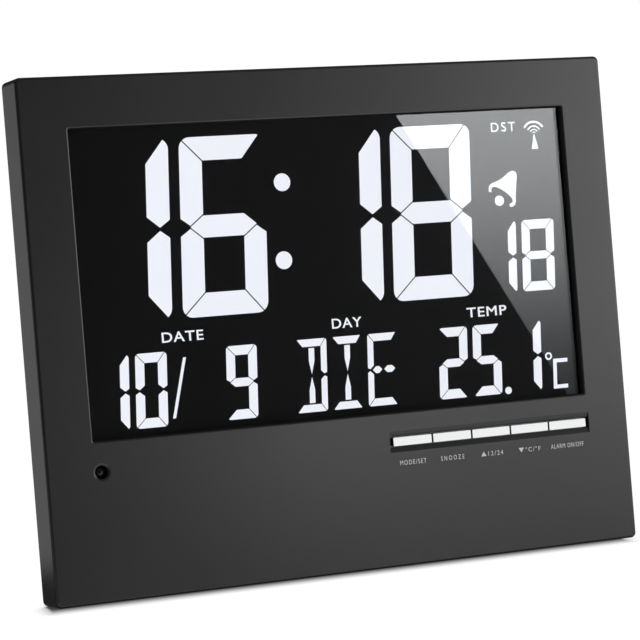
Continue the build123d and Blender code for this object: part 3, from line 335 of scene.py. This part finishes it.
# Reception sign: a tapered mast with four arcs of waves above its tip.
# Each arc is a band of a ring round the tip, narrower the nearer it is to the mast. The numbers are
# millimetres on the face, and each wave has a radius and a width.
mast_tip = (87.0, 154.9)
mast_foot = 149.35
mast_half_foot = 1.4
mast_half_tip = 0.12
mast_outline = [
    (mast_tip[0] - mast_half_foot, mast_foot), (mast_tip[0] + mast_half_foot, mast_foot),
    (mast_tip[0] + mast_half_tip, mast_tip[1]), (mast_tip[0] - mast_half_tip, mast_tip[1]),
]
lit(flat_outline("reception_mast", mast_outline, sharp=(0, 1, 2, 3)))
wave_sizes = ((4.65, 0.75), (3.0, 0.5), (1.75, 0.36), (0.8, 0.3))
wave_half_angle = radians(57)
wave_steps = 18
for number, (wave_radius, wave_width) in enumerate(wave_sizes):
    inner, outer = wave_radius - wave_width / 2, wave_radius + wave_width / 2
    angles = [wave_half_angle * (2 * step / wave_steps - 1) for step in range(wave_steps + 1)]
    rim = [(mast_tip[0] + outer * sin(a), mast_tip[1] + outer * cos(a)) for a in angles]
    rim += [(mast_tip[0] + inner * sin(a), mast_tip[1] + inner * cos(a)) for a in reversed(angles)]
    ends = (0, wave_steps, wave_steps + 1, 2 * wave_steps + 1)
    lit(flat_outline("reception_wave_" + str(number + 1), rim, sharp=ends))

# Keys: five caps side by side in the trough, each on a stem of its own that presses a switch.
# They are lacquered silver-white on the front. Their long sides are painted dark grey and their
# ends near black: painted shade for the narrow gaps round each key.
key_side_shade, side_shade_in, side_shade_out = effect(
    "key_side_shade", {"Lacquer": "Color", "Thin": "Color", "Shaded Ends": "Color"}, {"Colour": "Color"}
)
side_shade_way = key_side_shade.nodes.new("ShaderNodeTexCoord")
side_shade_split = key_side_shade.nodes.new("ShaderNodeSeparateXYZ")
side_shade_end = key_side_shade.nodes.new("ShaderNodeMath")
side_shade_end.operation = "ABSOLUTE"
key_side_shade.links.new(side_shade_way.outputs["Normal"], side_shade_split.inputs["Vector"])
key_side_shade.links.new(side_shade_split.outputs["X"], side_shade_end.inputs[0])
first_colour, second_colour, mixed_colour = 6, 7, 2


def colour_mix(group, share, first, second):
    """The first colour where the share is 0, and the second where it is 1.

    The node has sockets of the same names for other kinds of values, so these go by number.
    """
    mix = group.nodes.new("ShaderNodeMix")
    mix.data_type = "RGBA"
    group.links.new(share, mix.inputs["Factor"])
    group.links.new(first, mix.inputs[first_colour])
    group.links.new(second, mix.inputs[second_colour])
    return mix.outputs[mixed_colour]


def painted_side_shade(source, start, end, low, high):
    """The low colour where the source is at its start, and the high one from its end on."""
    share = key_side_shade.nodes.new("ShaderNodeMapRange")
    set_inputs(share, {"From Min": start, "From Max": end})
    key_side_shade.links.new(source, share.inputs["Value"])
    return colour_mix(key_side_shade, share.outputs["Result"], low, high)


# Painted shade: the long sides of each key turn dark grey, then the ends near black.
long_sides_shaded = painted_side_shade(
    side_shade_split.outputs["Y"], -0.85, -0.45, side_shade_in.outputs["Lacquer"], side_shade_in.outputs["Thin"]
)
all_sides_shaded = painted_side_shade(side_shade_end.outputs[0], 0.6, 0.8, long_sides_shaded, side_shade_in.outputs["Shaded Ends"])
key_side_shade.links.new(all_sides_shaded, side_shade_out.inputs["Colour"])

silver_white = (0.81, 0.815, 0.82)
key_lacquer = moulded("silver_white_lacquer", silver_white, 0.24, 0.01, 0.04, 5200, 0.000004)
set_inputs(shader_of(key_lacquer), {"Coat Weight": 0.3})
# Painted shade on the keys: dark grey on the long sides, near black on the ends.
key_coat_and_shade = place_effect(key_lacquer.node_tree.nodes, key_side_shade, {
    "Lacquer": (*silver_white, 1), "Thin": (0.14, 0.14, 0.14, 1), "Shaded Ends": (0.01, 0.01, 0.01, 1),
})
key_lacquer.node_tree.links.new(
    key_coat_and_shade.outputs["Colour"], shader_of(key_lacquer).inputs["Base Color"]
)
plunger_grey = moulded("plunger_plastic", (0.45, 0.44, 0.42), 0.5)
key_names = ("mode", "snooze", "up", "down", "alarm")
dress(key_lacquer, *[name + "_button" for name in key_names])
dress(plunger_grey, *[name + "_plunger" for name in key_names])

# Key words: pad-printed in light grey below each key, a few hundredths of a millimetre thick.
# Two of them start with a small triangle that shows which way the key counts.
label_ink = moulded(
    "light_grey_ink", (0.46, 0.46, 0.455), 0.6, mottle=0.06, grain_scale=4000, relief=0.000006
)
ink_thickness = 0.00003
label_v = (0.03665, 0.03835)


def printed(piece):
    """A print on the face of the case."""
    placed_on_face(piece, 0, ink_thickness)
    piece.data.materials.clear()
    piece.data.materials.append(label_ink)
    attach(piece, "case")


printed(flat_words("mode_words", "MODE/SET", (0.0189, 0.0296), label_v, 1.3))
printed(flat_words("snooze_words", "SNOOZE", (0.0356, 0.0452), label_v, 1.6))
printed(flat_words("hours_words", "12/24", (0.0552, 0.0614), label_v, 1.4))
printed(flat_words("degrees_words", "°C/°F", (0.0709, 0.0772), label_v, 1.3))
printed(flat_words("alarm_words", "ALARM ON/OFF", (0.0817, 0.0957), label_v, 1.2))
up_triangle = [(52.2, 36.7), (54.4, 36.7), (53.3, 38.4)]
down_triangle = [(68.0, 38.35), (69.1, 36.65), (70.2, 38.35)]
printed(flat_outline("up_triangle", up_triangle, sharp=(0, 1, 2)))
printed(flat_outline("down_triangle", down_triangle, sharp=(0, 1, 2)))

# Light sensor: smoked epoxy with a domed end, set back in its hole at the lower left.
# It stands on a small board of its own.
smoked_epoxy = moulded(
    "smoked_epoxy", (0.004, 0.004, 0.005), 0.07, mottle=0.02, uneven=0.02, relief=0.0
)
dress(smoked_epoxy, "light_sensor")

# Boards: green laminate with copper tracks under the lacquer, each held by small screws.
# They lie behind the display and the keys and show only when the case is open.
tracks, tracks_in, tracks_out = effect(
    "board_tracks",
    {"Colour": "Color", "Track": "Color", "Scale": "Float"},
    {"Colour": "Color", "Height": "Float"},
)
tracks_place = tracks.nodes.new("ShaderNodeTexCoord")
tracks_cells = tracks.nodes.new("ShaderNodeTexVoronoi")
tracks_cells.distance = "MANHATTAN"
tracks_cells.feature = "F1"
tracks_edge = tracks.nodes.new("ShaderNodeMapRange")
set_inputs(tracks_edge, {"From Min": 0.52, "From Max": 0.56})
tracks.links.new(tracks_place.outputs["Object"], tracks_cells.inputs["Vector"])
tracks.links.new(tracks_in.outputs["Scale"], tracks_cells.inputs["Scale"])
tracks.links.new(tracks_cells.outputs["Distance"], tracks_edge.inputs["Value"])
tracks_colour = colour_mix(
    tracks, tracks_edge.outputs["Result"], tracks_in.outputs["Colour"], tracks_in.outputs["Track"]
)
tracks.links.new(tracks_colour, tracks_out.inputs["Colour"])
tracks.links.new(tracks_edge.outputs["Result"], tracks_out.inputs["Height"])

laminate_green, track_green = (0.010, 0.095, 0.040), (0.035, 0.21, 0.075)
solder_green = moulded("green_laminate", laminate_green, 0.28)
green_nodes, green_links = solder_green.node_tree.nodes, solder_green.node_tree.links
green_tracks = place_effect(green_nodes, tracks, {
    "Colour": (*laminate_green, 1), "Track": (*track_green, 1), "Scale": 170,
})
green_links.new(green_tracks.outputs["Colour"], shader_of(solder_green).inputs["Base Color"])
green_links.new(green_tracks.outputs["Height"], green_nodes["Bump"].inputs["Height"])
dress(solder_green, "main_board", "key_board", "sensor_board", "receiver_board", "backlight_board")

# Parts on the boards: moulded chips, the buzzer, lamps and cans, all soldered in place.
# The receiver's rod of ferrite carries a winding of enamelled copper. A rubber strip, a flat cable
# and the wires join the boards to the glass, to the keys and to the cells.
chip_black = moulded("chip_epoxy", (0.02, 0.02, 0.021), 0.5, grain_scale=6000)
dress(chip_black, "controller_chip", "receiver_chip", "buzzer", "temperature_sensor")
lamp_resin = moulded("lamp_resin", (0.85, 0.75, 0.35), 0.3)
dress(lamp_resin, "backlight_leds")
drawn_can = moulded(
    "drawn_can", (0.72, 0.73, 0.75), 0.25, metal=1.0, grain_scale=3000, relief=0.000004
)
dress(drawn_can, "clock_crystal", "board_capacitors")
ferrite_grey = moulded("sintered_ferrite", (0.045, 0.045, 0.05), 0.6, grain_scale=3200)
dress(ferrite_grey, "ferrite_rod")

bands, bands_in, bands_out = effect(
    "even_bands",
    {"Colour": "Color", "Groove": "Color", "Scale": "Float"},
    {"Colour": "Color", "Height": "Float"},
)
bands_place = bands.nodes.new("ShaderNodeTexCoord")
bands_wave = bands.nodes.new("ShaderNodeTexWave")
bands_wave.bands_direction = "X"
bands.links.new(bands_place.outputs["Object"], bands_wave.inputs["Vector"])
bands.links.new(bands_in.outputs["Scale"], bands_wave.inputs["Scale"])
bands_colour = colour_mix(
    bands, bands_wave.outputs["Fac"], bands_in.outputs["Groove"], bands_in.outputs["Colour"]
)
bands.links.new(bands_colour, bands_out.inputs["Colour"])
bands.links.new(bands_wave.outputs["Fac"], bands_out.inputs["Height"])
wave_turn = 20


def banded(name, colour, groove, pitch, roughness, relief, metal=0.0):
    """A material whose colour and height repeat across the clock at an even pitch.

    The wave texture turns by wave_turn radians in each unit of its scale.
    """
    material = moulded(name, colour, roughness, relief=relief, metal=metal)
    nodes, links = material.node_tree.nodes, material.node_tree.links
    stripes = place_effect(nodes, bands, {
        "Colour": (*colour, 1), "Groove": (*groove, 1), "Scale": 2 * pi / (wave_turn * pitch),
    })
    links.new(stripes.outputs["Colour"], shader_of(material).inputs["Base Color"])
    links.new(stripes.outputs["Height"], nodes["Bump"].inputs["Height"])
    return material


wound_copper = banded(
    "wound_copper", (0.75, 0.35, 0.17), (0.22, 0.08, 0.03), 0.0004, 0.28, 0.0001, metal=1.0
)
dress(wound_copper, "antenna_winding", "antenna_wires")
layered_rubber = banded(
    "layered_rubber", (0.34, 0.34, 0.33), (0.02, 0.02, 0.02), 0.0002, 0.6, 0.00001
)
dress(layered_rubber, "contact_strip")
flat_cable = banded("flat_cable", (0.40, 0.40, 0.41), (0.22, 0.22, 0.23), 0.001, 0.45, 0.0002)
dress(flat_cable, "key_cable")
wire_red = moulded("wire_jacket", (0.32, 0.02, 0.015), 0.4)
dress(wire_red, "battery_wires")

# Rear cover, battery door and leg: black plastic with a coarser spark grain than the front.
# The cover is screwed on, the door slides in rails, and the leg turns on a steel pin and stands on
# a rubber pad.
spark_black = moulded("spark_grain_plastic", (0.012, 0.012, 0.0118), 0.5, 0.06, 0.05, 1900, 0.00005)
dress(spark_black, "rear_cover", "battery_door", "stand")
soft_rubber = moulded(
    "black_rubber", (0.016, 0.016, 0.016), 0.75, mottle=0.12, grain_scale=1400, relief=0.00006
)
dress(soft_rubber, "stand_pad")
zinc_steel = moulded(
    "zinc_plated_steel", (0.56, 0.56, 0.55), 0.3, 0.06, 0.08, 2400, 0.000006, metal=1.0
)
dress(zinc_steel, "case_screws", "frame_screws", "board_screws", "small_board_screws", "stand_pin")

# Cells and their contacts: each cell is a steel can in a printed film, black with a copper-coloured
# stretch at its plus end. Bare metal shows at both ends, where nickel-plated springs and plates
# touch it, and the middle cell lies the other way round.
nickel = moulded("nickel_plate", (0.72, 0.69, 0.62), 0.2, 0.05, 0.06, 2000, 0.000006, metal=1.0)
dress(nickel, "battery_plates", "battery_springs")
wrap, wrap_in, wrap_out = effect(
    "cell_wrap",
    {"Minus End": "Float", "Plus End": "Float"},
    {"Colour": "Color", "Metallic": "Float"},
)
wrap_place = wrap.nodes.new("ShaderNodeTexCoord")
wrap_split = wrap.nodes.new("ShaderNodeSeparateXYZ")
wrap_share = wrap.nodes.new("ShaderNodeMapRange")
wrap.links.new(wrap_place.outputs["Object"], wrap_split.inputs["Vector"])
wrap.links.new(wrap_split.outputs["X"], wrap_share.inputs["Value"])
wrap.links.new(wrap_in.outputs["Minus End"], wrap_share.inputs["From Min"])
wrap.links.new(wrap_in.outputs["Plus End"], wrap_share.inputs["From Max"])
film_start, copper_start, film_end = 0.008, 0.68, 0.965


def wrap_stretches(can, black, copper, socket):
    """Feeds an output of the wrap with what each stretch has, from the minus to the plus end."""
    ramp = wrap.nodes.new("ShaderNodeValToRGB")
    stretches = ramp.color_ramp
    stretches.interpolation = "CONSTANT"
    stretches.elements[0].color = can
    stretches.elements[1].color = black
    stretches.elements[1].position = film_start
    stretches.elements.new(copper_start).color = copper
    stretches.elements.new(film_end).color = can
    wrap.links.new(wrap_share.outputs["Result"], ramp.inputs["Fac"])
    wrap.links.new(ramp.outputs["Color"], wrap_out.inputs[socket])


can_steel = (0.62, 0.62, 0.61, 1)
film_black = (0.012, 0.012, 0.014, 1)
film_copper = (0.55, 0.24, 0.10, 1)
wrap_stretches(can_steel, film_black, film_copper, "Colour")
wrap_stretches((1, 1, 1, 1), (0, 0, 0, 1), (0.6, 0.6, 0.6, 1), "Metallic")
for number in (1, 2, 3):
    cell = "battery_" + str(number)
    ends = (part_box(cell)[0].x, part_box(cell)[1].x)
    plus, minus = reversed(ends) if number == 2 else ends
    jacket = moulded("jacket_of_cell_" + str(number), film_black[:3], 0.26, relief=0.00001)
    jacket_links = jacket.node_tree.links
    jacket_wrap = place_effect(jacket.node_tree.nodes, wrap, {"Minus End": minus, "Plus End": plus})
    jacket_links.new(jacket_wrap.outputs["Colour"], shader_of(jacket).inputs["Base Color"])
    jacket_links.new(jacket_wrap.outputs["Metallic"], shader_of(jacket).inputs["Metallic"])
    dress(jacket, cell)

# The table: a white sheet that glows evenly, as in strong soft light, with a painted contact
# shadow:
# a narrow dark line where the clock stands on it, where the room reaches it least and in a band
# just in front of the clock's foot. It runs far behind the clock, so it is the backdrop too. The
# clock mirrors it most as a strip close in front and at the front right, and the mirrored table is
# kept dark round the clock, a painted shadow.
nothing_selected()
bpy.ops.mesh.primitive_plane_add(size=16, location=(0, 0, 0))
table_top = bpy.context.object
table_top.name = "table_top"
white_table, table_nodes, table_links = new_material("white_table")
table_shader = shader_of(white_table)
set_inputs(table_shader, {
    "Base Color": (0, 0, 0, 1), "Specular IOR Level": 0.0, "Emission Color": (1, 1, 1, 1),
})
table_way = table_nodes.new("ShaderNodeTexCoord")
table_split = table_nodes.new("ShaderNodeSeparateXYZ")
table_links.new(table_way.outputs["Object"], table_split.inputs["Vector"])


def table_ramp(source, start, end, low, high):
    """A smooth rise or fall of the table's brightness between two places."""
    ramp = table_nodes.new("ShaderNodeMapRange")
    ramp.interpolation_type = "SMOOTHSTEP"
    set_inputs(ramp, {"From Min": start, "From Max": end, "To Min": low, "To Max": high})
    table_links.new(source, ramp.inputs["Value"])
    return ramp.outputs["Result"]


def table_sum(kind, first, second):
    """The two brightnesses put together."""
    both = table_nodes.new("ShaderNodeMath")
    both.operation = kind
    table_links.new(first, both.inputs[0])
    table_links.new(second, both.inputs[1])
    return both.outputs["Value"]


across, away = table_split.outputs["X"], table_split.outputs["Y"]
painted_shadow_dark, table_white, strip_glow = 0.05, 1.03, 1.2
# Painted contact shadow: the table darkens where little of the room reaches it and just in front of
# the clock's foot.
table_near = table_nodes.new("ShaderNodeAmbientOcclusion")
table_near.samples = 16
set_inputs(table_near, {"Distance": 0.02})
painted_contact_shadow = table_ramp(table_near.outputs["AO"], 0.2, 0.8, painted_shadow_dark, table_white)
painted_shadow_in_front = table_ramp(away, -0.0290, -0.0385, painted_shadow_dark, table_white)
table_with_painted_shadow = table_sum("MAXIMUM", painted_contact_shadow, painted_shadow_in_front)
table_front = table_ramp(away, -0.10, -0.30, 0.0, 1.6)
table_right = table_ramp(across, -0.10, 0.15, 0.0, 1.0)
# Painted shadow in what the clock mirrors: the table stays dark up to just behind the clock.
table_behind = table_ramp(away, 0.0, 0.04, 0.04, 0.5)
table_far = table_nodes.new("ShaderNodeMath")
table_far.operation = "MULTIPLY_ADD"
for socket, part in zip(table_far.inputs, (table_front, table_right, table_behind)):
    table_links.new(part, socket)
strip_back = table_ramp(away, -0.043, -0.052, 0.0, strip_glow)
strip_front = table_ramp(away, -0.17, -0.12, 0.0, strip_glow)
table_strip = table_sum("MINIMUM", strip_back, strip_front)
table_all = table_sum("MAXIMUM", table_strip, table_far.outputs["Value"])
table_path = table_nodes.new("ShaderNodeLightPath")
table_mirrored = table_nodes.new("ShaderNodeMix")
table_links.new(table_path.outputs["Is Glossy Ray"], table_mirrored.inputs["Factor"])
table_links.new(table_with_painted_shadow, table_mirrored.inputs["A"])
table_links.new(table_all, table_mirrored.inputs["B"])
table_links.new(table_mirrored.outputs["Result"], table_shader.inputs["Emission Strength"])
table_top.data.materials.append(white_table)

# The room: even white light on everything, while what the clock mirrors of it is nearly dark.
# Only a wide band between the walls and the ceiling is brighter in the mirrored room.
room = bpy.data.worlds.new("room")
bpy.context.scene.world = room
room.use_nodes = True
room_nodes, room_links = room.node_tree.nodes, room.node_tree.links
room_way = room_nodes.new("ShaderNodeTexCoord")
room_split = room_nodes.new("ShaderNodeSeparateXYZ")
room_height = room_nodes.new("ShaderNodeValToRGB")
room_dark, room_bright = (0.035, 0.035, 0.035, 1), (0.4, 0.4, 0.4, 1)
band_foot, band_middle, band_top = 0.68, 0.84, 0.95
room_band = room_height.color_ramp
room_band.interpolation = "EASE"
for end, height in zip(room_band.elements, (band_foot, band_top)):
    end.position = height
    end.color = room_dark
room_band.elements.new(band_middle).color = room_bright
room_light = 1.15
room_path = room_nodes.new("ShaderNodeLightPath")
room_mix = room_nodes.new("ShaderNodeMix")
set_inputs(room_mix, {"A": room_light})
room_links.new(room_way.outputs["Generated"], room_split.inputs["Vector"])
room_links.new(room_split.outputs["Z"], room_height.inputs["Fac"])
room_links.new(room_path.outputs["Is Glossy Ray"], room_mix.inputs["Factor"])
room_links.new(room_height.outputs["Color"], room_mix.inputs["B"])
room_links.new(room_mix.outputs["Result"], room_nodes["Background"].inputs["Color"])

# Camera: a long lens to the left of the clock and a little above it, as the photograph was taken.
# Its depth of field stays off, because everything in the photograph is sharp.
camera_place = Vector((-0.38800, -0.85645, 0.25932))
camera_azimuth = radians(24.462)
camera_pitch = radians(10.287)
camera_turn = (pi / 2 - camera_pitch, 0, -camera_azimuth)
bpy.ops.object.camera_add(location=camera_place, rotation=camera_turn)
camera = bpy.context.object
camera.name = "camera"
camera.data.lens = 145.74
camera.data.sensor_width = 36
camera.data.clip_start = 0.05
camera.data.clip_end = 60
bpy.context.scene.camera = camera
bpy.context.scene.view_settings.view_transform = "Standard"

# Bright card at the front right: the pane mirrors it as the pale, slanting patch at its right side.
# It fades downwards, and its left edge lies where the patch's edge is seen on the pane.
pane_front = front_of("display_window")
card_line = -1.7


def mirrored(x, v):
    """Where the camera's ray to a place on the pane, in millimetres, meets the card's plane."""
    place = on_face(x / 1000, v / 1000, pane_front)
    ray = (place - camera_place).normalized()
    ray = ray - 2 * ray.dot(outwards) * outwards
    return place + ray * ((card_line - place.y) / ray.y)


def hung_sheet(name, corners):
    """A four-cornered sheet that is only mirrored: it is not seen itself and casts no shadow."""
    nothing_selected()
    bpy.ops.mesh.primitive_plane_add(size=1)
    sheet = bpy.context.object
    sheet.name = name
    for corner, place in zip(sheet.data.vertices, corners):
        corner.co = place
    sheet.visible_camera = False
    sheet.visible_diffuse = False
    sheet.visible_shadow = False
    return sheet


card = hung_sheet("bright_card", (
    mirrored(101.5, 40), mirrored(165, 40), mirrored(17.8, 185), mirrored(165, 185),
))
card_glow, card_nodes, card_links = new_material("card_glow")
card_shader = shader_of(card_glow)
set_inputs(card_shader, {
    "Base Color": (0, 0, 0, 1), "Emission Color": (0.965, 0.985, 1.0, 1),
})
card_way = card_nodes.new("ShaderNodeTexCoord")
card_split = card_nodes.new("ShaderNodeSeparateXYZ")
card_fade = card_nodes.new("ShaderNodeMapRange")
card_fade.interpolation_type = "SMOOTHSTEP"
set_inputs(card_fade, {
    "From Min": mirrored(90, 50).z, "From Max": mirrored(90, 178).z, "To Min": 0.3, "To Max": 4.35,
})
card_links.new(card_way.outputs["Object"], card_split.inputs["Vector"])
card_links.new(card_split.outputs["Z"], card_fade.inputs["Value"])
card_links.new(card_fade.outputs["Result"], card_shader.inputs["Emission Strength"])
card.data.materials.append(card_glow)

# Soft lights at the right and low in front: they light the satin plastic alone, as a tone that
# rises from the left side to the right. They are clear, so the pane mirrors what lies behind them.
satin_parts = bpy.data.collections.new("satin_parts")
satin_parts.objects.link(frame["nodes"]["front_case"])


def soft_light(name, left, right, low, high, strength):
    """An upright glowing sheet between two places on the table, from one height to another."""
    light = hung_sheet(name, ((*left, low), (*right, low), (*left, high), (*right, high)))
    glow, glow_nodes, glow_links = new_material(name + "_glow")
    glow_nodes.remove(shader_of(glow))
    emission = glow_nodes.new("ShaderNodeEmission")
    set_inputs(emission, {"Strength": strength})
    clear = glow_nodes.new("ShaderNodeBsdfTransparent")
    both = glow_nodes.new("ShaderNodeAddShader")
    glow_links.new(emission.outputs["Emission"], both.inputs[0])
    glow_links.new(clear.outputs["BSDF"], both.inputs[1])
    glow_links.new(both.outputs["Shader"], glow_nodes["Material Output"].inputs["Surface"])
    light.data.materials.append(glow)
    light.visible_transmission = False
    light.light_linking.receiver_collection = satin_parts


soft_light("side_light", (0.42, -0.56), (0.95, -0.25), 0.10, 0.49, 3.6)
soft_light("low_light", (0.175, -0.54), (0.275, -0.54), 0.125, 0.165, 14.0)
